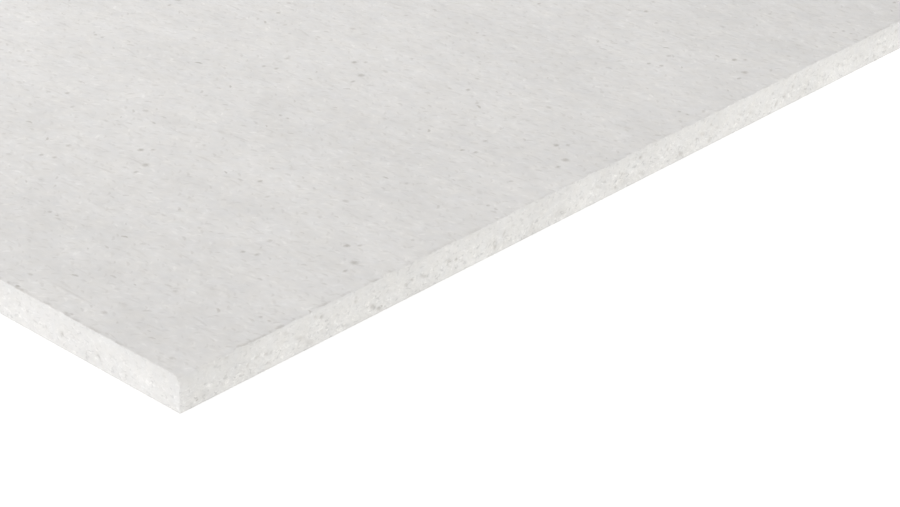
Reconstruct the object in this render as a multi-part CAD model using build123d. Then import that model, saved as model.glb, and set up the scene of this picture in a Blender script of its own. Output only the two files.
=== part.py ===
from build123d import *
import os

# Gypsum fibreboard sheet: one homogeneous slab with no paper on it, sawn square on all four sides.
# Millimetres. X runs along the sheet, Y across it and Z up through it, and it lies on its back face.
# The origin is at the middle of the back face.

# Sheet size
LENGTH = 2400.0
WIDTH = 1200.0
THICKNESS = 12.5

# Dulled edges: the arrises round the two faces, and the upright edges at the corners
FACE_ARRIS_RADIUS = 0.4
BACK_ARRIS_RADIUS = 0.3
CORNER_RADIUS = 1.0

# Knocked corner at the +X end of the -Y side: how far the break reaches from the corner's upper point
KNOCK_DOWN = 2.2
KNOCK_ALONG_SIDE = 2.0
KNOCK_ALONG_END = 6.0


def sawn_slab():
    """The slab as sawn, with its upright corner edges dulled."""
    plan = RectangleRounded(LENGTH, WIDTH, CORNER_RADIUS)
    return extrude(plan, THICKNESS)


def dull_arrises(slab):
    """Rounds the edges all round the back face, then those all round the front face."""
    back_edges = slab.edges().group_by(Axis.Z)[0]
    slab = fillet(back_edges, BACK_ARRIS_RADIUS)
    front_edges = slab.edges().group_by(Axis.Z)[-1]
    return fillet(front_edges, FACE_ARRIS_RADIUS)


def knock_corner(slab):
    """Breaks the upper point off one corner with a single slanted facet."""
    upper_point = Vector(LENGTH / 2, -WIDTH / 2, THICKNESS)
    below = upper_point - Vector(0, 0, KNOCK_DOWN)
    along_side = upper_point - Vector(KNOCK_ALONG_SIDE, 0, 0)
    along_end = upper_point + Vector(0, KNOCK_ALONG_END, 0)
    towards_side = along_side - below
    outward = (along_end - below).cross(towards_side)
    facet = Plane(origin=below, x_dir=towards_side, z_dir=outward)
    return split(slab, bisect_by=facet, keep=Keep.BOTTOM)


board = knock_corner(dull_arrises(sawn_slab()))
board.label = "board"

os.makedirs("parts", exist_ok=True)
export_step(board, "parts/board.step")
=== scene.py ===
import math
from dataclasses import dataclass
import bpy
from mathutils import Matrix, Vector, geometry, noise


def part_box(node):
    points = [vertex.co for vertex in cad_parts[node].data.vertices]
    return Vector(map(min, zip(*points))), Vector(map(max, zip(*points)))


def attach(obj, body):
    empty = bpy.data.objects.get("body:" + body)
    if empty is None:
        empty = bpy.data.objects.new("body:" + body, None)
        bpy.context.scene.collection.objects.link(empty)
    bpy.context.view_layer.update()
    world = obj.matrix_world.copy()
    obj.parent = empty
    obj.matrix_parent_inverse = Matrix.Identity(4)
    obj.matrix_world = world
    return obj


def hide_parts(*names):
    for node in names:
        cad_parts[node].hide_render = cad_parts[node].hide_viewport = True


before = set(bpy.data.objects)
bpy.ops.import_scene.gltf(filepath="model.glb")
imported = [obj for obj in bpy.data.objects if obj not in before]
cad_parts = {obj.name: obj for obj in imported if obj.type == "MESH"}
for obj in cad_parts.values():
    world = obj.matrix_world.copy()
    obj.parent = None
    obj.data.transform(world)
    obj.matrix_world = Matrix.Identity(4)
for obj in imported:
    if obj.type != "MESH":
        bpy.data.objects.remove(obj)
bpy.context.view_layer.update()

# Gypsum fibreboard sheet: the dressed mesh of its one node, its material, and the studio round it.
# Places are in metres, and a size written as 0.4 * MM is in millimetres
MM = 0.001
TO_MM = 1000.0

# Sine and cosine of 45 degrees, halfway round an arris or a corner
HALFWAY = math.sqrt(0.5)

# The sheet's own box, from the frame
LOWEST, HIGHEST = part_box("board")
LENGTH = HIGHEST.x - LOWEST.x
WIDTH = HIGHEST.y - LOWEST.y
THICKNESS = HIGHEST.z - LOWEST.z

# The photographed corner: the +X end meets the -Y side there
CORNER = Vector((HIGHEST.x, LOWEST.y, LOWEST.z))

# Camera, fitted to the four straight edges that meet at the photographed corner
CAMERA_FROM_CORNER = Vector((0.4743, -0.4486, 0.4126))
CAMERA_AZIMUTH = math.radians(39.78)
CAMERA_ELEVATION = math.radians(28.56)
CAMERA_ROLL = math.radians(-3.35)
LENS_MM = 102.96
SENSOR_MM = 36.0
NEAR_CLIP = 0.01
FAR_CLIP = 100.0

# Edges of the sheet: radii, the steps round each, and the mesh step up the sawn part
BACK_ARRIS = 0.12 * MM
FACE_ARRIS = 0.4 * MM
CORNER_RADIUS = 0.6 * MM
ARRIS_STEPS = 3
CORNER_STEPS = 6
SAWN_STEP = 0.56 * MM

# Mesh steps along the edges: fine on the stretches that the photograph shows, and growing to coarse elsewhere
FINE_STEP = 0.55 * MM
COARSE_STEP = 5.0 * MM
STEP_GROWTH = 0.06
FINE_ON_END = 0.43
FINE_ON_SIDE = 0.10

# Rings of mesh points on the two faces, by their distance from the edge, and the steps along and inside them
FACE_RINGS = [0.75 * MM, 1.1 * MM, 1.5 * MM, 2.0 * MM, 3.0 * MM, 5.0 * MM, 9.0 * MM, 17.0 * MM, 32.0 * MM,
              60.0 * MM]
BACK_RINGS = [0.7 * MM, 2.5 * MM, 9.0 * MM, 30.0 * MM]
STEP_PER_INSET = 0.8
INNER_STEP = 0.08

# How the triangles are made: only inside the border, and points closer than this are one
INSIDE_BORDER = 1
SAME_POINT = 1e-7

# Torn and broken places are rough at several scales, each this much finer than the one before
ROUGH_SCALES = 3
ROUGH_RATIO = 2.0

# Knocked corner: how far the break reaches from the corner's upper point, how soft its rim is and how far
# inside the break that is felt, and how rough it is, with the size and falloff of that roughness
KNOCK_DOWN = 2.2 * MM
KNOCK_ALONG_SIDE = 2.0 * MM
KNOCK_ALONG_END = 6.0 * MM
KNOCK_SOFTNESS = 0.18 * MM
KNOCK_MARGIN = 8 * KNOCK_SOFTNESS
KNOCK_ROUGHNESS = 0.12 * MM
KNOCK_GRAIN = 1.5 * MM
KNOCK_FALLOFF = 1.0

# Part of the end beside that corner that is rubbed towards the look of the face, with a soft, ragged border
RUBBED_ALONG = 9.0 * MM
RUBBED_DOWN = 2.8 * MM
RUBBED_INSIDE = 0.6
RUBBED_OUTSIDE = 1.4
RUBBED_RAGGED = 0.2
RUBBED_RAG_SIZE = 3.0 * MM
RUBBED_LOOK = 0.45

# Relief of the sawn edges, always into the sheet: torn below, and smoother above and on the long sides
TORN_SIZE = 2.0 * MM
TORN_DEPTH = 0.26 * MM
TORN_MEAN = 0.5
TORN_SWING = 0.5
TORN_FALLOFF = 0.9
TORN_TOP = 0.70
TORN_FADE = 0.30
TORN_WANDER = 0.35
WANDER_SIZE = 14.0 * MM
SMOOTH_SHARE = 0.55
SIDE_SHARE = 0.75
FOOT_HEIGHT = 1.2 * MM

# Crumbled arrises: the usual reach of the chips and the most they reach, the distance within which a point is
# tested, the depth that looks fully sawn, and the share of the usual reach that is there without the waves,
# which are given by size and share
CHIP_REACH = 0.45 * MM
CHIP_LIMIT = 1.50 * MM
CHIP_MARGIN = 3 * CHIP_LIMIT
CHIP_SOFTNESS = 0.15 * MM
CHIP_BASE = 0.7
CHIP_WAVES = [(2.0 * MM, 0.7), (5.5 * MM, 1.3), (25.0 * MM, 0.8)]
SIDE_CHIP_SHARE = 0.6
BACK_CHIP_SHARE = 0.15

# What stands for the millimetres behind the crumbled arris where no arris is near
FAR_BEHIND = 5.0

# The sawn grain slants, down and away from the photographed corner along either edge
END_SLANT = math.radians(25.0)
SIDE_SLANT = math.radians(-35.0)

# Pits of the edges as (from the photographed corner, height, length, width, boldness), in millimetres: along
# the end, and with a minus along the side. The boldness sets both their depth and their painted shade
PITS = [(19.0, 11.6, 2.0, 0.9, 0.55), (32.0, 6.2, 1.3, 0.9, 0.60), (36.3, 5.7, 1.7, 0.9, 0.75),
        (38.3, 5.5, 0.9, 1.1, 0.60), (37.0, 2.0, 2.4, 1.9, 0.35), (28.3, 5.0, 0.8, 1.8, 0.50),
        (44.7, 9.6, 3.0, 0.8, 0.45), (51.0, 5.2, 4.6, 1.1, 0.45), (57.7, 10.2, 2.2, 0.8, 0.60),
        (60.5, 9.1, 1.5, 1.1, 1.00), (55.0, 2.0, 4.0, 1.4, 0.35), (71.7, 1.6, 3.4, 1.1, 0.45),
        (76.0, 8.7, 1.4, 1.0, 0.65), (84.2, 3.4, 2.0, 1.4, 0.85), (87.4, 1.4, 2.4, 1.1, 0.85),
        (100.2, 5.4, 1.7, 1.0, 0.60), (102.5, 6.3, 2.4, 0.8, 0.70), (108.6, 5.2, 4.4, 0.8, 0.60),
        (121.0, 6.2, 3.4, 0.8, 0.60), (124.7, 5.3, 1.4, 1.1, 0.95), (135.0, 10.7, 1.3, 1.1, 0.50),
        (144.3, 4.7, 1.4, 0.9, 0.65), (144.5, 2.6, 1.4, 1.3, 0.90), (148.8, 5.8, 1.2, 2.6, 0.50),
        (153.3, 7.6, 1.6, 0.9, 0.45), (163.7, 4.2, 1.0, 2.4, 0.35), (168.4, 10.1, 1.2, 1.0, 0.40),
        (171.9, 2.3, 0.9, 2.6, 0.45), (178.8, 3.7, 3.0, 2.6, 0.30), (181.8, 11.0, 1.6, 1.2, 0.30),
        (190.2, 5.1, 1.8, 1.0, 0.45), (200.1, 5.9, 3.0, 0.9, 0.45), (203.4, 6.7, 1.6, 0.8, 0.45),
        (210.3, 1.9, 1.8, 1.0, 0.50), (215.0, 5.7, 6.5, 0.7, 0.50), (215.4, 2.5, 5.0, 2.0, 0.35),
        (223.5, 9.3, 1.5, 1.2, 0.90), (225.3, 2.3, 3.5, 1.2, 0.45), (238.4, 9.0, 1.1, 1.6, 0.50),
        (239.9, 6.9, 1.4, 1.1, 0.65), (248.3, 2.4, 2.2, 1.6, 0.85), (257.1, 5.2, 1.4, 1.2, 0.45),
        (261.2, 6.2, 3.4, 0.9, 0.55), (265.8, 8.4, 1.1, 0.9, 0.60), (266.2, 2.1, 1.8, 2.2, 0.60),
        (270.0, 5.8, 5.0, 0.8, 0.45), (285.0, 6.4, 2.6, 0.8, 0.55), (292.0, 4.6, 4.5, 1.4, 0.40),
        (305.2, 8.4, 1.4, 1.2, 0.50), (308.3, 2.8, 1.3, 2.2, 0.80), (313.8, 4.8, 2.4, 1.8, 0.40),
        (318.7, 7.0, 1.4, 0.9, 0.65), (340.4, 3.6, 1.0, 2.4, 0.40), (353.1, 5.6, 4.5, 0.9, 0.40),
        (365.8, 5.6, 3.2, 0.8, 0.40), (376.0, 2.1, 1.6, 1.4, 0.65), (383.4, 4.0, 3.0, 1.0, 0.45),
        (390.3, 9.0, 1.8, 1.2, 0.55), (-52.8, 5.2, 1.3, 1.6, 0.70), (-35.7, 4.0, 0.9, 3.4, 0.45)]
PIT_DEPTH = 0.30 * MM
PIT_RAGGED = 0.5
PIT_RAG_SIZE = 0.9 * MM

# Soft rim of the pits and the listed spots: from nothing to the full mark, where 1 is the mark's own outline
RIM_OUTSIDE = 1.8
RIM_INSIDE = 0.2


def sky_direction(azimuth, elevation):
    """The direction from the object back to a camera at that azimuth and elevation."""
    flat = math.cos(elevation)
    return Vector((math.sin(azimuth) * flat, -math.cos(azimuth) * flat, math.sin(elevation)))


def add_camera():
    """Puts the camera where the photograph was taken from, with its small roll."""
    back = sky_direction(CAMERA_AZIMUTH, CAMERA_ELEVATION)
    level_right = (-back).cross(Vector((0, 0, 1))).normalized()
    level_down = (-back).cross(level_right)
    right = math.cos(CAMERA_ROLL) * level_right + math.sin(CAMERA_ROLL) * level_down
    down = math.cos(CAMERA_ROLL) * level_down - math.sin(CAMERA_ROLL) * level_right
    data = bpy.data.cameras.new("camera")
    data.lens = LENS_MM
    data.sensor_width = SENSOR_MM
    data.clip_start = NEAR_CLIP
    data.clip_end = FAR_CLIP
    camera = bpy.data.objects.new("camera", data)
    turn = Matrix((right, -down, back)).transposed().to_4x4()
    camera.matrix_world = Matrix.Translation(CORNER + CAMERA_FROM_CORNER) @ turn
    bpy.context.scene.collection.objects.link(camera)
    bpy.context.scene.camera = camera


# Outline of the sheet

def side_stations(length, fine_at_start, fine_at_end, fine, coarse):
    """Distances along one side, from 0 to its length, close together in its fine stretches."""
    distances = [0.0]
    while distances[-1] < length:
        here = distances[-1]
        outside = max(0.0, min(here - fine_at_start, length - fine_at_end - here))
        distances.append(here + min(coarse, fine + STEP_GROWTH * outside))
    stretch = length / distances[-1]
    return [d * stretch for d in distances]


def outline(inset, fine, coarse, radius):
    """Points round the sheet with their outward directions, counter-clockwise from the photographed corner.

    A radius of 0 leaves the corners sharp.
    """
    right, left = HIGHEST.x - inset, LOWEST.x + inset
    front, back = LOWEST.y + inset, HIGHEST.y - inset
    corners = [Vector((right, front)), Vector((right, back)), Vector((left, back)), Vector((left, front))]
    outward = [Vector((1, 0)), Vector((0, 1)), Vector((-1, 0)), Vector((0, -1))]
    fine_ends = [(FINE_ON_END, 0.0), (0.0, 0.0), (0.0, 0.0), (0.0, FINE_ON_SIDE)]
    points = []
    for side in range(len(corners)):
        after = (side + 1) % len(corners)
        start, end = corners[side], corners[after]
        along = (end - start).normalized()
        straight = (end - start).length - 2 * radius
        for distance in side_stations(straight, *fine_ends[side], fine, coarse):
            points.append((start + along * (radius + distance), outward[side]))
        if radius > 0:
            points += corner_arc(end - along * radius, outward[side], outward[after], radius)
        else:
            points.pop()
    return points


def corner_arc(arc_start, first, second, radius):
    """Points between the ends of one rounded corner."""
    centre = arc_start - first * radius
    points = []
    for step in range(1, CORNER_STEPS):
        turn = math.pi / 2 * step / CORNER_STEPS
        direction = first * math.cos(turn) + second * math.sin(turn)
        points.append((centre + direction * radius, direction))
    return points


def section():
    """The edge from the back face round to the front face, as (inset, height, outward, upward)."""
    points = []
    for step in range(ARRIS_STEPS + 1):
        turn = math.pi / 2 * step / ARRIS_STEPS
        out, up = math.sin(turn), -math.cos(turn)
        points.append((BACK_ARRIS * (1 - out), BACK_ARRIS * (1 + up), out, up))
    sawn = THICKNESS - BACK_ARRIS - FACE_ARRIS
    steps = round(sawn / SAWN_STEP)
    for step in range(1, steps):
        points.append((0.0, BACK_ARRIS + sawn * step / steps, 1.0, 0.0))
    for step in range(ARRIS_STEPS + 1):
        turn = math.pi / 2 * step / ARRIS_STEPS
        out, up = math.cos(turn), math.sin(turn)
        points.append((FACE_ARRIS * (1 - out), THICKNESS - FACE_ARRIS * (1 - up), out, up))
    return points


# Wear of the surface

def ramp(value, low, high):
    """0 on low's side, 1 on high's side and smooth between them; either may be the larger."""
    share = max(0.0, min(1.0, (value - low) / (high - low)))
    return share * share * (3 - 2 * share)


def knock_plane():
    """A point and the outward direction of the break at the photographed corner."""
    point = CORNER + Vector((0, 0, THICKNESS))
    below = point - Vector((0, 0, KNOCK_DOWN))
    along_side = point - Vector((KNOCK_ALONG_SIDE, 0, 0))
    along_end = point + Vector((0, KNOCK_ALONG_END, 0))
    return below, (along_end - below).cross(along_side - below).normalized()


KNOCK_POINT, KNOCK_OUTWARD = knock_plane()


def rubbed_share(place, outward):
    """How far the end is rubbed beside the photographed corner, from 0 to 1."""
    along = (place.y - CORNER.y) / RUBBED_ALONG
    down = (HIGHEST.z - place.z) / RUBBED_DOWN
    ragged = RUBBED_RAGGED * noise.noise(place / RUBBED_RAG_SIZE)
    return max(0.0, outward.x) * ramp(along + down + ragged, RUBBED_OUTSIDE, RUBBED_INSIDE)


def rough_noise(place, size, falloff):
    """Noise about 0 at several scales from that size down; a larger falloff weakens the finer ones."""
    return noise.fractal(place / size, falloff, ROUGH_RATIO, ROUGH_SCALES)


def torn_share(place, outward):
    """How torn the saw left the edge here, from 0 to 1."""
    flat = Vector((place.x, place.y, 0.0))
    height = (place.z - LOWEST.z) / THICKNESS + TORN_WANDER * noise.noise(flat / WANDER_SIZE)
    share = 1.0 - (1.0 - SMOOTH_SHARE) * ramp(height, TORN_TOP - TORN_FADE, TORN_TOP)
    return share * (1.0 - (1.0 - SIDE_SHARE) * abs(outward.y))


def chip_reach(place, outward):
    """How far the arris has crumbled here, measured across its corner."""
    flat = Vector((place.x, place.y, 0.0))
    waves = sum(share * noise.noise(flat / size) for size, share in CHIP_WAVES)
    usual = CHIP_REACH * (1.0 - (1.0 - SIDE_CHIP_SHARE) * abs(outward.y))
    return min(CHIP_LIMIT, usual * max(0.0, CHIP_BASE + waves))


def pitted_share(place, direction):
    """How pitted the edges beside the photographed corner are here, from 0 to 1."""
    if direction.x > HALFWAY:
        along, slant = (place.y - CORNER.y) * TO_MM, END_SLANT
    elif direction.y < -HALFWAY:
        along, slant = (place.x - CORNER.x) * TO_MM, SIDE_SLANT
    else:
        return 0.0
    height = (place.z - LOWEST.z) * TO_MM
    ragged = PIT_RAGGED * noise.noise(place / PIT_RAG_SIZE)
    boldest = 0.0
    for middle, level, long, wide, bold in PITS:
        x, y = along - middle, height - level
        if abs(x) < long + wide:
            with_grain = x * math.cos(slant) - y * math.sin(slant)
            across_grain = x * math.sin(slant) + y * math.cos(slant)
            radius = 2 * math.hypot(with_grain / long, across_grain / wide) + ragged
            boldest = max(boldest, bold * ramp(radius, RIM_OUTSIDE, RIM_INSIDE))
    return boldest


def worn(place, direction, inset, outward):
    """The place of a surface point after sawing and wear, and its looks.

    The looks are how sawn, torn, rubbed and pitted it is, and how many millimetres it lies behind the
    crumbled arris of the front face.
    """
    out = direction.xy.length
    rubbed = rubbed_share(place, outward)
    torn = torn_share(place, outward) * (1.0 - rubbed)
    lumps = TORN_MEAN + TORN_SWING * rough_noise(place, TORN_SIZE, TORN_FALLOFF)
    pitted = pitted_share(place, direction)
    foot = ramp(place.z - LOWEST.z, 0.0, FOOT_HEIGHT)
    depth = TORN_DEPTH * torn * max(0.0, lumps) + PIT_DEPTH * pitted
    place = place - direction * out * foot * depth
    place, sawn, behind = crumbled(place, inset, outward, out)
    looks = {"sawn": sawn, "torn": torn, "rubbed": rubbed, "pitted": pitted, "behind": behind}
    return knocked(place), looks


def crumbled(place, inset, outward, sawn):
    """A point once the arrises have crumbled: its place, how sawn it looks, and how far behind the arris.

    The reach of a chip is measured across the arris, and the distance behind it along the face.
    """
    behind = FAR_BEHIND
    for arris, upward, share in ((HIGHEST.z, 1, 1.0), (LOWEST.z, -1, BACK_CHIP_SHARE)):
        drop = abs(arris - place.z)
        if inset + drop < CHIP_MARGIN:
            over = share * chip_reach(place, outward) - (inset + drop) * HALFWAY
            if upward > 0:
                behind = -over * math.sqrt(2) * TO_MM
            if over > 0:
                place = place - Vector((outward.x, outward.y, upward)) * over * HALFWAY
                sawn = max(sawn, ramp(over, 0.0, CHIP_SOFTNESS))
    return place, sawn, behind


def knocked(place):
    """The place of a point once the photographed corner is knocked: what lay beyond the break lies on it."""
    rough = KNOCK_ROUGHNESS * rough_noise(place, KNOCK_GRAIN, KNOCK_FALLOFF)
    beyond = (place - KNOCK_POINT).dot(KNOCK_OUTWARD) + rough
    if beyond > -KNOCK_MARGIN:
        place = place - KNOCK_OUTWARD * KNOCK_SOFTNESS * math.log(1 + math.exp(beyond / KNOCK_SOFTNESS))
    return place


# Mesh of the sheet

def nearest_edge(point):
    """How far a point of a face lies from the nearest edge, and the outward direction there."""
    choices = [(HIGHEST.x - point.x, (1, 0)), (point.x - LOWEST.x, (-1, 0)),
               (HIGHEST.y - point.y, (0, 1)), (point.y - LOWEST.y, (0, -1))]
    distance, outward = min(choices)
    return distance, Vector(outward)


class Surface:
    """The mesh under construction: its faces, and each point with its direction, inset and nearest edge."""

    def __init__(self):
        self.points = []
        self.faces = []

    def add(self, place, direction, inset, outward):
        """Adds one point; faces name it by its number."""
        self.points.append((place, direction, inset, outward))


def fill_face(surface, ring, rings, height, upward):
    """Fills one face inside its edge ring with triangles that grow towards the middle."""
    flat = [surface.points[k][0].xy for k in ring]
    known = len(flat)
    for inset in rings:
        fine = max(FINE_STEP, STEP_PER_INSET * inset)
        flat += [point for point, _ in outline(inset, fine, max(COARSE_STEP, inset), 0.0)]
    inner = rings[-1]
    columns = round((LENGTH - 2 * inner) / INNER_STEP)
    rows = round((WIDTH - 2 * inner) / INNER_STEP)
    for column in range(1, columns):
        for row in range(1, rows):
            x = LOWEST.x + inner + (LENGTH - 2 * inner) * column / columns
            y = LOWEST.y + inner + (WIDTH - 2 * inner) * row / rows
            flat.append(Vector((x, y)))
    made = geometry.delaunay_2d_cdt(flat, [], [list(range(known))], INSIDE_BORDER, SAME_POINT)
    points, triangles, sources = made[0], made[2], made[3]
    # The number that each point of the triangles has in the surface
    index = []
    for k, point in enumerate(points):
        source = sources[k][0] if sources[k] else None
        if source is not None and source < known:
            index.append(ring[source])
            continue
        index.append(len(surface.points))
        surface.add(Vector((point.x, point.y, height)), Vector((0, 0, upward)), *nearest_edge(point))
    for triangle in triangles:
        corners = [index[k] for k in triangle]
        surface.faces.append(corners if upward > 0 else corners[::-1])


def build_board():
    """The whole sheet as one closed mesh: its sawn edges as rings of quads, and its two faces."""
    stations = outline(0.0, FINE_STEP, COARSE_STEP, CORNER_RADIUS)
    profile = section()
    surface = Surface()
    for point, outward in stations:
        for inset, height, out, up in profile:
            flat = point - outward * inset
            direction = Vector((outward.x * out, outward.y * out, up))
            surface.add(Vector((flat.x, flat.y, LOWEST.z + height)), direction, inset, outward)
    count, high = len(stations), len(profile)
    for k in range(count):
        here, there = k * high, (k + 1) % count * high
        for j in range(high - 1):
            surface.faces.append((here + j, there + j, there + j + 1, here + j + 1))
    fill_face(surface, [k * high for k in range(count)], BACK_RINGS, LOWEST.z, -1)
    fill_face(surface, [k * high + high - 1 for k in range(count)], FACE_RINGS, HIGHEST.z, 1)
    finished = [worn(*point) for point in surface.points]
    mesh = bpy.data.meshes.new("board_detail")
    mesh.from_pydata([place for place, _ in finished], [], surface.faces)
    mesh.validate()
    for name in finished[0][1]:
        shares = [looks[name] for _, looks in finished]
        mesh.attributes.new(name, "FLOAT", "POINT").data.foreach_set("value", shares)
    mesh.shade_smooth()
    board = bpy.data.objects.new("board_detail", mesh)
    bpy.context.scene.collection.objects.link(board)
    return board


# Materials

# Noise textures: the middle of their range, and the share that each finer scale has of the one before
NOISE_MIDDLE = 0.5
NOISE_ROUGHNESS = 0.5

# Scattered marks: their least size and how much larger they get, how ragged and how soft their rims are, the
# least chance that is told apart, and how much further they are shifted across than along
MARK_LEAST = 0.6
MARK_SWING = 0.8
MARK_RAGGED = 1.1
MARK_OUTSIDE = 1.25
MARK_INSIDE = 0.45
LEAST_CHANCE = 0.001
SHIFT_RATIO = 1.7

# How ragged the listed spots are
SPOT_RAGGED = 1.4

# Winding lines: how far from the zero of their noise they begin and are full, and the noise that keeps parts
WINDING_OUTSIDE = 0.055
WINDING_INSIDE = 0.010
KEEP_STRETCH = 1.5
KEEP_FROM = 0.03
KEEP_TO = 0.09

# Sockets of a Mix node: first and second colour and the mixed one, and first and second plain value
MIX_COLOURS = (6, 7)
MIX_COLOUR_OUT = 2
MIX_VALUES = (2, 3)


@dataclass
class Marks:
    """One kind of mark, at most one in each cell. Sizes are in millimetres, length and width from its middle.

    The bend bows each mark, and the shift moves them all. Each is turned by up to half the spread, in
    radians, either way. Most are about as bold as the faintest, and the rarer the bolder, up to 1; a steeper
    rise makes more of them bold.
    """
    cell: float
    length: float
    width: float
    bend: float
    spread: float
    faintest: float
    rise: float
    shift: float


class Nodes:
    """A node tree under construction: each call adds its nodes, links them and gives back their result."""

    def __init__(self, tree):
        self.tree = tree
        self.tree.nodes.clear()

    def add(self, kind, inputs=None, **settings):
        """Adds a shader node with these settings, and feeds its inputs."""
        made = self.tree.nodes.new("ShaderNode" + kind)
        for key, value in settings.items():
            setattr(made, key, value)
        for key, value in (inputs or {}).items():
            self.feed(made.inputs[key], value)
        return made

    def feed(self, socket, value):
        """Links another node's output to a socket, or sets the socket's own value."""
        if isinstance(value, bpy.types.NodeSocket):
            self.tree.links.new(value, socket)
        else:
            socket.default_value = value

    def math(self, operation, first, second=0.0, third=0.0):
        """One operation on plain values."""
        return self.add("Math", {0: first, 1: second, 2: third}, operation=operation).outputs[0]

    def vector(self, operation, first, second, third=(0.0, 0.0, 0.0)):
        """One operation on places or colours."""
        return self.add("VectorMath", {0: first, 1: second, 2: third}, operation=operation).outputs[0]

    def scaled(self, colour, factor):
        """The colour times one factor."""
        return self.add("VectorMath", {0: colour, "Scale": factor}, operation="SCALE").outputs[0]

    def axes(self, place):
        """The x, y and z of a place."""
        return self.add("SeparateXYZ", {"Vector": place}).outputs

    def look(self, name):
        """One of the looks that the mesh holds for each of its points."""
        return self.add("Attribute", attribute_name=name).outputs["Fac"]

    def ramp(self, value, low, high, to_low=0.0, to_high=1.0):
        """A smooth step from to_low to to_high as the value goes from low to high."""
        inputs = {"Value": value, "From Min": low, "From Max": high, "To Min": to_low, "To Max": to_high}
        return self.add("MapRange", inputs, interpolation_type="SMOOTHSTEP").outputs["Result"]

    def noise(self, place, size, stretch=1.0, detail=2.0):
        """Noise about 0, mostly within 0.25 of it, with features of that size in millimetres."""
        spread = self.vector("MULTIPLY", place, (1 / (size * stretch), 1 / size, 1 / size))
        inputs = {"Vector": spread, "Scale": 1.0, "Detail": detail, "Roughness": NOISE_ROUGHNESS}
        return self.math("SUBTRACT", self.add("TexNoise", inputs).outputs["Fac"], NOISE_MIDDLE)

    def mix(self, factor, first, second):
        """From the first colour at factor 0 to the second at 1."""
        made = self.add("Mix", {"Factor": factor}, data_type="RGBA")
        self.feed(made.inputs[MIX_COLOURS[0]], first)
        self.feed(made.inputs[MIX_COLOURS[1]], second)
        return made.outputs[MIX_COLOUR_OUT]

    def marks(self, place, ragged, kind):
        """Marks on a plane, from 0 outside to about 1 in the middle of the boldest."""
        moved = self.vector("ADD", place, (kind.shift, kind.shift * SHIFT_RATIO, 0.0))
        spread = self.vector("MULTIPLY", moved, (1 / kind.cell, 1 / kind.cell, 0.0))
        cells = self.add("TexVoronoi", {"Vector": spread, "Scale": 1.0}, voronoi_dimensions="2D")
        local = self.vector("SUBTRACT", spread, cells.outputs["Position"])
        local = self.vector("MULTIPLY", local, (kind.cell, kind.cell, 0.0))
        chance = self.add("SeparateColor", {"Color": cells.outputs["Color"]}).outputs
        angle = self.math("MULTIPLY_ADD", chance[0], kind.spread, -kind.spread / 2)
        turned = self.add("VectorRotate", {"Vector": local, "Angle": angle}, rotation_type="Z_AXIS")
        axes = self.axes(turned.outputs[0])
        bowed = self.math("MULTIPLY_ADD", self.math("MULTIPLY", axes[0], axes[0]), kind.bend, axes[1])
        size = self.math("MULTIPLY_ADD", chance[1], MARK_SWING, MARK_LEAST)
        x = self.math("DIVIDE", axes[0], self.math("MULTIPLY", size, kind.length))
        y = self.math("DIVIDE", bowed, self.math("MULTIPLY", size, kind.width))
        square = self.math("ADD", self.math("MULTIPLY", x, x), self.math("MULTIPLY", y, y))
        radius = self.math("MULTIPLY_ADD", ragged, MARK_RAGGED, self.math("SQRT", square))
        inside = self.ramp(radius, MARK_OUTSIDE, MARK_INSIDE)
        rarity = self.math("POWER", self.math("MAXIMUM", chance[2], LEAST_CHANCE), -kind.rise)
        bold = self.math("MINIMUM", self.math("MULTIPLY", rarity, kind.faintest), 1.0)
        return self.math("MULTIPLY", inside, bold)

    def spots(self, place, ragged, kinds):
        """The boldest of several soft spots on a plane, each as (x, y, length, width, strength)."""
        outside = self.math("MULTIPLY_ADD", ragged, -SPOT_RAGGED, RIM_OUTSIDE)
        inside = self.math("MULTIPLY_ADD", ragged, -SPOT_RAGGED, RIM_INSIDE)
        result = 0.0
        for x, y, long, wide, strength in kinds:
            scale = Vector((2 / long, 2 / wide, 0.0))
            local = self.vector("MULTIPLY_ADD", place, scale, scale * Vector((-x, -y, 0.0)))
            radius = self.add("VectorMath", {0: local}, operation="LENGTH").outputs["Value"]
            result = self.math("MAXIMUM", result, self.ramp(radius, outside, inside, 0.0, strength))
        return result

    def winding(self, place, size, stretch, keep):
        """Thin winding lines where a noise crosses 0, kept only in part, from 0 beside them to 1 on them."""
        from_zero = self.math("ABSOLUTE", self.noise(place, size, stretch, detail=1.0))
        lines = self.ramp(from_zero, WINDING_OUTSIDE, WINDING_INSIDE)
        kept = self.ramp(self.noise(place, keep, KEEP_STRETCH), KEEP_FROM, KEEP_TO)
        return self.math("MULTIPLY", lines, kept)

    def total(self, start, terms):
        """The start value plus each term times its own strength."""
        result = start
        for value, strength in terms:
            result = self.math("MULTIPLY_ADD", value, strength, result)
        return result

    def boldest(self, terms):
        """The largest of several marks, each times its own strength."""
        result = 0.0
        for value, strength in terms:
            result = self.math("MAXIMUM", result, self.math("MULTIPLY", value, strength))
        return result


# Colours, how dull the surface is, and how deep the finest relief is at full noise
WHITE = (1.0, 1.0, 1.0)
FACE_COLOUR = (0.707, 0.694, 0.680)
SAWN_COLOUR = (0.785, 0.774, 0.755)
FLECK_COLOUR = (0.30, 0.27, 0.23, 1.0)
ROUGHNESS = 0.88
SPECULAR = 0.25
FINE_RELIEF = 0.06 * MM

# Size in millimetres of the noise that makes borders and rims ragged
RAG_SIZE = 0.7

# The border between the looks of face and edge: how ragged it is, and where it begins and ends
BORDER_RAGGED = 0.5
BORDER_FROM = 0.35
BORDER_TO = 0.65

# Faint patches of hue: their size in millimetres, and how they change red, green and blue
HUE_SIZE = 5.0
HUE_STRENGTH = Vector((-0.020, 0.0, 0.040))

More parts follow.
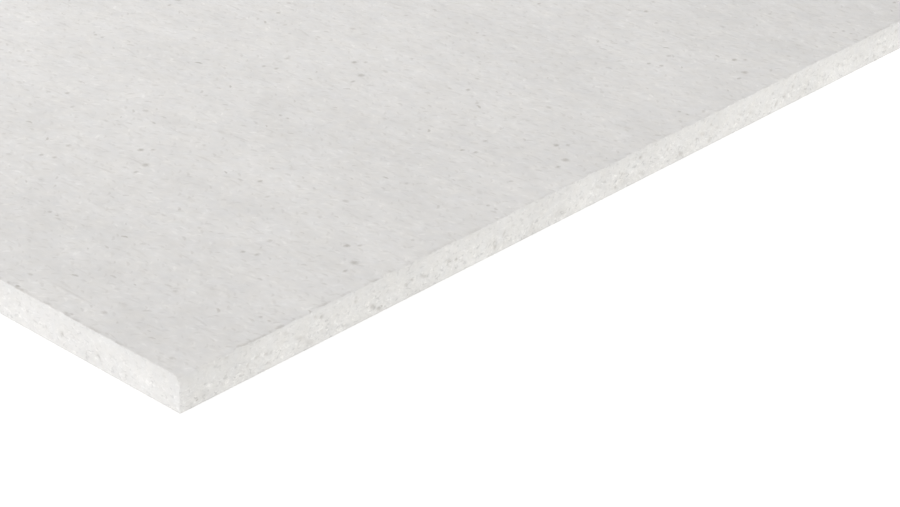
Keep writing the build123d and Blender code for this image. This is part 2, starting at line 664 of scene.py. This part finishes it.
# Tone of the face: size of the noise in millimetres, stretch along the sheet, strength
FACE_TONES = [(0.9, 1.4, 0.04), (1.5, 1.7, 0.08), (3.2, 1.5, 0.14), (9.0, 1.4, 0.13), (30.0, 1.6, 0.12),
              (350.0, 2.0, 0.05)]

# The finest tones, this many, and the light marks come and go with the tone that has this number in the list
FINE_TONES = 2
PATCH_TONE = 3
PATCHINESS = 2.4

# Marks of the face, with the strength of each kind: the dark ones, and the light fibres
DASHES = Marks(cell=4.1, length=1.25, width=0.45, bend=0.16, spread=2.1, faintest=0.16, rise=0.26,
               shift=83.0)
DASH_STRENGTH = 0.54
CLOTS = Marks(cell=27.0, length=1.5, width=0.9, bend=0.08, spread=1.2, faintest=0.12, rise=0.7, shift=3.0)
CLOT_STRENGTH = 0.34
STREAKS = Marks(cell=15.0, length=3.8, width=0.40, bend=0.02, spread=0.5, faintest=0.5, rise=0.3, shift=61.0)
STREAK_STRENGTH = 0.14
LIGHTS = Marks(cell=4.2, length=1.35, width=0.46, bend=0.12, spread=2.4, faintest=0.36, rise=0.26,
               shift=109.0)
LIGHT_STRENGTH = 0.085

# The bolder flecks come back at even distances in millimetres, in rows that lean a little. The field that is
# listed ends this far beyond the end and this far in from the long side
REPEAT_ALONG = 96.6
REPEAT_ACROSS = 108.2
LEAN_ALONG = 0.0032
LEAN_ACROSS = 0.0166
REPEAT_HIGH_X = 8.0
REPEAT_HIGH_Y = 111.0

# Bolder flecks as (from the end, from the long side, length along the sheet, width, strength), in millimetres
FLECKS = [(-74.4, 107.5, 1.4, 1.7, 0.44), (-79.8, 103.4, 1.9, 1.0, 0.27), (-64.6, 101.3, 1.1, 1.7, 0.28),
          (-57.4, 96.6, 1.3, 1.1, 0.23), (-47.9, 102.4, 1.8, 1.0, 0.23), (-42.6, 103.7, 1.4, 1.2, 0.20),
          (-19.9, 98.9, 1.2, 1.5, 0.34), (-22.7, 95.7, 1.7, 1.9, 0.50), (-13.1, 89.1, 2.3, 2.3, 0.42),
          (-11.4, 83.0, 1.1, 1.7, 0.43), (-42.1, 79.7, 1.5, 2.0, 0.31), (-38.4, 70.2, 1.3, 1.7, 0.38),
          (-42.9, 68.2, 1.3, 1.5, 0.43), (-64.2, 69.4, 1.4, 1.2, 0.20), (-78.7, 66.9, 1.9, 1.0, 0.23),
          (-9.2, 42.8, 1.2, 1.1, 0.38), (-5.7, 42.9, 1.3, 0.9, 0.36), (-39.0, 34.7, 1.4, 1.4, 0.25),
          (-13.7, 17.7, 3.0, 1.6, 0.14), (-44.2, 9.9, 2.2, 1.6, 0.29), (-10.2, 6.1, 1.4, 1.3, 0.25),
          (-78.1, 9.2, 1.8, 1.1, 0.30)]

# Two single marks of the face beside the arris and one scratch, in the same terms, and the lighter line
# beside the scratch
LONE_MARKS = [(-74.9, 1.5, 1.6, 1.0, 0.50), (-50.3, 2.1, 1.3, 1.0, 0.34), (-59.8, 10.7, 16.0, 0.9, 0.16)]
LONE_LIGHTS = [(-59.8, 9.4, 15.0, 0.8, 0.05)]

# Tone of the sawn edges where they are torn: size of the noise in millimetres, strength
SAWN_TONES = [(0.9, 0.14), (2.0, 0.19), (4.5, 0.10), (12.0, 0.18)]

# Height of the fine relief that the two finest of those tones give
SAWN_RELIEF = (2.2, 3.0)

# Drift of the tone along all edges, in the same terms
SAWN_DRIFT = (30.0, 0.14)

# The edges darken a little towards the front face: from one height to the other, by this share
SAWN_SHADES = [(3.0, 11.0, 0.040), (10.5, 12.2, 0.025)]

# The sawn edges are paler beside the upright edge of the photographed corner: middle and reach in
# millimetres, and share
PALE_MIDDLE = 0.6
PALE_REACH = 3.0
PALE_SHARE = 0.045

# The sawn tones are drawn out along the slanting grain, which turns over within this distance of the corner,
# and the pits are painted this much darker: painted shade in their hollows, on top of the shade that their
# depth casts
GRAIN_STRETCH = 1.5
GRAIN_TURN = 0.5
PIT_SHADE = 0.46

# Winding marks of the sawn edges: size and stretch of the lines, and size of the patches that keep them. The
# light curls are shifted, so that they don't follow the dark cracks
CRACKS = (2.3, 1.6, 1.9)
CRACK_STRENGTH = 0.17
CURLS = (1.8, 1.3, 2.0)
CURL_SHIFT = (0.0, 40.0, 0.0)
CURL_STRENGTH = 0.14

# Small dark specks of the sawn edges, where they are torn
SPECKS = Marks(cell=5.5, length=0.70, width=0.45, bend=0.20, spread=2.0, faintest=0.10, rise=0.60,
               shift=71.0)
SPECK_STRENGTH = 0.42

# Broken dark line in the face just behind the crumbled arris, in millimetres: none near the photographed
# corner, boldest from there to the second distance, and fainter elsewhere
LINE_FROM = 12.0
LINE_TO = 95.0
LINE_FADE = 12.0
LINE_STRENGTH = 0.31
LINE_ELSEWHERE = 0.35

# Across the line: where it begins and is full behind the arris, its width, and how ragged and how solid it is
LINE_BEGINS = -0.2
LINE_FULL = 0.25
LINE_WIDTH = 1.9
LINE_RAGGED = 0.9
LINE_SOLID = 0.1

# Along the line: size and detail of the noise that breaks it, where it is broken and where whole, and how
# much is left of it where broken
BREAK_SIZE = 4.5
BREAK_DETAIL = 3.0
BROKEN = -0.05
WHOLE = 0.10
LEFT_OF_BROKEN = 0.10


def face_look(nodes, place, ragged):
    """Colour and relief of the sanded face: soft lengthwise tones, with light fibres and brown-grey marks."""
    axes = nodes.axes(place)
    below = nodes.math("SUBTRACT", axes[2], THICKNESS * TO_MM)
    # The drop over an arris counts along the sheet, so that no mark is drawn straight down it
    flat = nodes.add("CombineXYZ", {"X": nodes.math("ADD", axes[0], below), "Y": axes[1]}).outputs[0]
    tones = [(nodes.noise(place, size, stretch), strength) for size, stretch, strength in FACE_TONES]
    lights = nodes.marks(flat, ragged, LIGHTS)
    from_corner = nodes.vector("SUBTRACT", flat, Vector((CORNER.x, CORNER.y, 0.0)) * TO_MM)
    fine = nodes.total(0.0, tones[:FINE_TONES] + [(lights, LIGHT_STRENGTH)])
    patchy = nodes.math("MULTIPLY_ADD", tones[PATCH_TONE][0], PATCHINESS, 1.0)
    tone = nodes.total(1.0, tones[FINE_TONES:] + [(nodes.spots(from_corner, ragged, LONE_LIGHTS), 1.0)])
    tone = nodes.math("MULTIPLY_ADD", fine, patchy, tone)
    kinds = [(DASHES, DASH_STRENGTH), (CLOTS, CLOT_STRENGTH), (STREAKS, STREAK_STRENGTH)]
    dark = nodes.boldest([(nodes.marks(flat, ragged, kind), strength) for kind, strength in kinds])
    dark = nodes.math("MAXIMUM", dark, nodes.spots(from_corner, ragged, LONE_MARKS))
    dark = nodes.math("MAXIMUM", dark, repeated_flecks(nodes, from_corner, ragged))
    colour = nodes.mix(dark, nodes.scaled(FACE_COLOUR, tone), FLECK_COLOUR)
    return colour, nodes.math("ADD", tones[0][0], tones[1][0])


def repeated_flecks(nodes, from_corner, ragged):
    """The bolder flecks, which come back over the whole face."""
    axes = nodes.axes(from_corner)
    along = nodes.math("MULTIPLY_ADD", axes[1], LEAN_ALONG, axes[0])
    across = nodes.math("MULTIPLY_ADD", axes[0], -LEAN_ACROSS, axes[1])
    upright = nodes.add("CombineXYZ", {"X": along, "Y": across}).outputs[0]
    # The third size only has to hold 0
    high = Vector((REPEAT_HIGH_X, REPEAT_HIGH_Y, 1.0))
    low = high - Vector((REPEAT_ALONG, REPEAT_ACROSS, 2.0))
    once = nodes.vector("WRAP", upright, high, low)
    kinds = [(x + LEAN_ALONG * y, y - LEAN_ACROSS * x, *rest) for x, y, *rest in FLECKS]
    return nodes.spots(once, ragged, kinds)


def sawn_look(nodes, place, ragged):
    """Colour and relief of the sawn edges: whiter and granular, with cracks, curls and pits."""
    axes = nodes.axes(place)
    corner_sum = (CORNER.x + CORNER.y) * TO_MM
    along = nodes.math("SUBTRACT", nodes.math("ADD", axes[0], axes[1]), corner_sum)
    on_edge = nodes.add("CombineXYZ", {"X": along, "Y": axes[2]}).outputs[0]
    slant = nodes.ramp(along, -GRAIN_TURN, GRAIN_TURN, SIDE_SLANT, END_SLANT)
    grain = nodes.add("VectorRotate", {"Vector": on_edge, "Angle": slant}, rotation_type="Z_AXIS").outputs[0]
    torn = nodes.look("torn")
    tones = [(nodes.noise(grain, size, GRAIN_STRETCH), strength) for size, strength in SAWN_TONES]
    cracks = nodes.winding(on_edge, *CRACKS)
    curls = nodes.winding(nodes.vector("ADD", on_edge, CURL_SHIFT), *CURLS)
    rough = nodes.total(0.0, tones + [(cracks, -CRACK_STRENGTH), (curls, CURL_STRENGTH)])
    size, strength = SAWN_DRIFT
    drift = nodes.math("MULTIPLY_ADD", nodes.noise(place, size), strength, 1.0)
    drift = nodes.total(drift, [(nodes.ramp(axes[2], low, high), -share) for low, high, share in SAWN_SHADES])
    from_edge = nodes.math("ABSOLUTE", nodes.math("SUBTRACT", along, PALE_MIDDLE))
    pale = nodes.ramp(from_edge, 0.0, PALE_REACH, PALE_SHARE, 0.0)
    tone = nodes.math("ADD", nodes.math("MULTIPLY_ADD", rough, torn, drift), pale)
    speck_strength = nodes.math("MULTIPLY", torn, SPECK_STRENGTH)
    specks = nodes.math("MULTIPLY", nodes.marks(on_edge, ragged, SPECKS), speck_strength)
    # The pits are painted darker here: painted shade in their hollows
    pits = nodes.math("MULTIPLY", nodes.look("pitted"), PIT_SHADE)
    dark = nodes.math("MAXIMUM", specks, pits)
    colour = nodes.mix(dark, nodes.scaled(SAWN_COLOUR, tone), FLECK_COLOUR)
    relief = nodes.total(0.0, [(value, share) for (value, _), share in zip(tones, SAWN_RELIEF)])
    return colour, nodes.math("MULTIPLY", relief, torn)


def arris_line(nodes, place, ragged):
    """The broken dark line in the face behind the crumbled arris, as the share of the dark colour."""
    axes = nodes.axes(place)
    across = nodes.math("SUBTRACT", axes[1], CORNER.y * TO_MM)
    along = nodes.math("SUBTRACT", CORNER.x * TO_MM, axes[0])
    from_corner = nodes.math("MAXIMUM", across, along)
    bold = nodes.ramp(from_corner, LINE_TO, LINE_TO - LINE_FADE, LINE_ELSEWHERE, 1.0)
    clear_of_corner = nodes.ramp(from_corner, LINE_FROM, LINE_FROM + LINE_FADE, 0.0, LINE_STRENGTH)
    bold = nodes.math("MULTIPLY", bold, clear_of_corner)
    breaks = nodes.noise(place, BREAK_SIZE, detail=BREAK_DETAIL)
    broken = nodes.ramp(breaks, BROKEN, WHOLE, LEFT_OF_BROKEN, 1.0)
    behind = nodes.math("MULTIPLY_ADD", ragged, LINE_RAGGED, nodes.look("behind"))
    near_side = nodes.ramp(behind, LINE_BEGINS, LINE_FULL)
    far_side = nodes.ramp(behind, LINE_WIDTH, LINE_SOLID * LINE_WIDTH)
    line = nodes.math("MULTIPLY", near_side, far_side)
    return nodes.math("MULTIPLY", nodes.math("MULTIPLY", line, broken), bold)


def hue_patches(nodes, place, colour):
    """The colour with faint patches of other hues."""
    hue = nodes.vector("MULTIPLY_ADD", nodes.noise(place, HUE_SIZE), HUE_STRENGTH, WHITE)
    return nodes.vector("MULTIPLY", colour, hue)


def gypsum_fibre():
    """Pressed gypsum and paper fibre, with the fine relief that the mesh leaves out."""
    material = bpy.data.materials.new("gypsum_fibre")
    material.use_nodes = True
    nodes = Nodes(material.node_tree)
    place = nodes.vector("MULTIPLY", nodes.add("TexCoord").outputs["Object"], (TO_MM, TO_MM, TO_MM))
    ragged = nodes.noise(place, RAG_SIZE, detail=1.0)
    edge = nodes.math("MULTIPLY_ADD", ragged, BORDER_RAGGED, nodes.look("sawn"))
    unrubbed = nodes.math("MULTIPLY_ADD", nodes.look("rubbed"), -RUBBED_LOOK, 1.0)
    sawn = nodes.math("MULTIPLY", nodes.ramp(edge, BORDER_FROM, BORDER_TO), unrubbed)
    face_colour, face_relief = face_look(nodes, place, ragged)
    face_colour = nodes.mix(arris_line(nodes, place, ragged), face_colour, FLECK_COLOUR)
    sawn_colour, sawn_relief = sawn_look(nodes, place, ragged)
    reliefs = {"Factor": sawn, MIX_VALUES[0]: face_relief, MIX_VALUES[1]: sawn_relief}
    relief = nodes.add("Mix", reliefs).outputs[0]
    bump = nodes.add("Bump", {"Height": relief, "Strength": 1.0, "Distance": FINE_RELIEF})
    colour = hue_patches(nodes, place, nodes.mix(sawn, face_colour, sawn_colour))
    inputs = {"Base Color": colour, "Roughness": ROUGHNESS, "Normal": bump.outputs[0]}
    shader = nodes.add("BsdfPrincipled", inputs)
    shader.inputs["Specular IOR Level"].default_value = SPECULAR
    nodes.add("OutputMaterial", {"Surface": shader.outputs[0]})
    return material


# Studio

# The floor, with the glow that makes it white to the eye, and how bright the surround is as a light
FLOOR_SIZE = 60.0
FLOOR_DROP = 0.05 * MM
FLOOR_COLOUR = (0.60, 0.60, 0.60, 1.0)
FLOOR_GLOW = 0.62
FILL_LIGHT = 0.60

# Soft lamps as (name, place, what it is turned to, size, power, colour): a high one, a low one for each edge
# that the photograph shows, and a faint one close by
SOFTBOXES = [("high", (-1.0, 0.6, 2.2), (-0.8, 0.5, 0.0), 1.6, 22.0, WHITE),
             ("left_low", (0.4, -3.9, 0.46), (0.4, -0.4, 0.0), 0.9, 64.4, (0.993, 0.992, 1.0)),
             ("right_low", (3.4, 0.36, 0.47), (1.1, 0.0, 0.0), 0.9, 28.8, (1.0, 0.997, 0.98)),
             ("left_near", (0.61, -0.61, 0.45), (0.81, -0.5, 0.0), 0.6, 1.25, WHITE)]


def seen(nodes):
    """1 for a ray that the eye sees, straight, mirrored or through glass, and 0 for one that only lights."""
    path = nodes.add("LightPath").outputs
    mirrored = nodes.math("MAXIMUM", path["Is Glossy Ray"], path["Is Transmission Ray"])
    return nodes.math("MAXIMUM", path["Is Camera Ray"], mirrored)


def add_floor():
    """A pale floor that renders white, with only the sheet's faint shadow on it."""
    half = FLOOR_SIZE / 2
    level = LOWEST.z - FLOOR_DROP
    corners = [(-half, -half, level), (half, -half, level), (half, half, level), (-half, half, level)]
    mesh = bpy.data.meshes.new("floor")
    mesh.from_pydata(corners, [], [(0, 1, 2, 3)])
    material = bpy.data.materials.new("studio_floor")
    material.use_nodes = True
    nodes = Nodes(material.node_tree)
    glow = nodes.add("Emission", {"Strength": nodes.math("MULTIPLY", seen(nodes), FLOOR_GLOW)})
    paint = nodes.add("BsdfDiffuse", {"Color": FLOOR_COLOUR})
    both = nodes.add("AddShader", {0: glow.outputs[0], 1: paint.outputs[0]})
    nodes.add("OutputMaterial", {"Surface": both.outputs[0]})
    mesh.materials.append(material)
    floor = bpy.data.objects.new("floor", mesh)
    bpy.context.scene.collection.objects.link(floor)


def add_world():
    """A plain white surround: full white to the eye and in reflections, softer as a light."""
    world = bpy.data.worlds.new("studio")
    world.use_nodes = True
    nodes = Nodes(world.node_tree)
    strength = nodes.add("MapRange", {"Value": seen(nodes), "To Min": FILL_LIGHT, "To Max": 1.0}).outputs[0]
    surround = nodes.add("Background", {"Color": (*WHITE, 1.0), "Strength": strength})
    nodes.add("OutputWorld", {"Surface": surround.outputs[0]})
    bpy.context.scene.world = world


def add_softbox(name, place, aim, size, power, colour):
    """A square soft lamp at a place, turned to what it lights."""
    data = bpy.data.lights.new(name, "AREA")
    data.shape = "SQUARE"
    data.size = size
    data.energy = power
    data.color = colour
    lamp = bpy.data.objects.new(name, data)
    towards = Vector(aim) - Vector(place)
    lamp.matrix_world = Matrix.Translation(place) @ towards.to_track_quat("-Z", "Y").to_matrix().to_4x4()
    lamp.visible_camera = False
    bpy.context.scene.collection.objects.link(lamp)


add_camera()
add_world()
add_floor()
for softbox in SOFTBOXES:
    add_softbox(*softbox)

board = build_board()
board.data.materials.append(gypsum_fibre())
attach(board, "root")
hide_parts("board")

bpy.context.scene.view_settings.view_transform = "Standard"
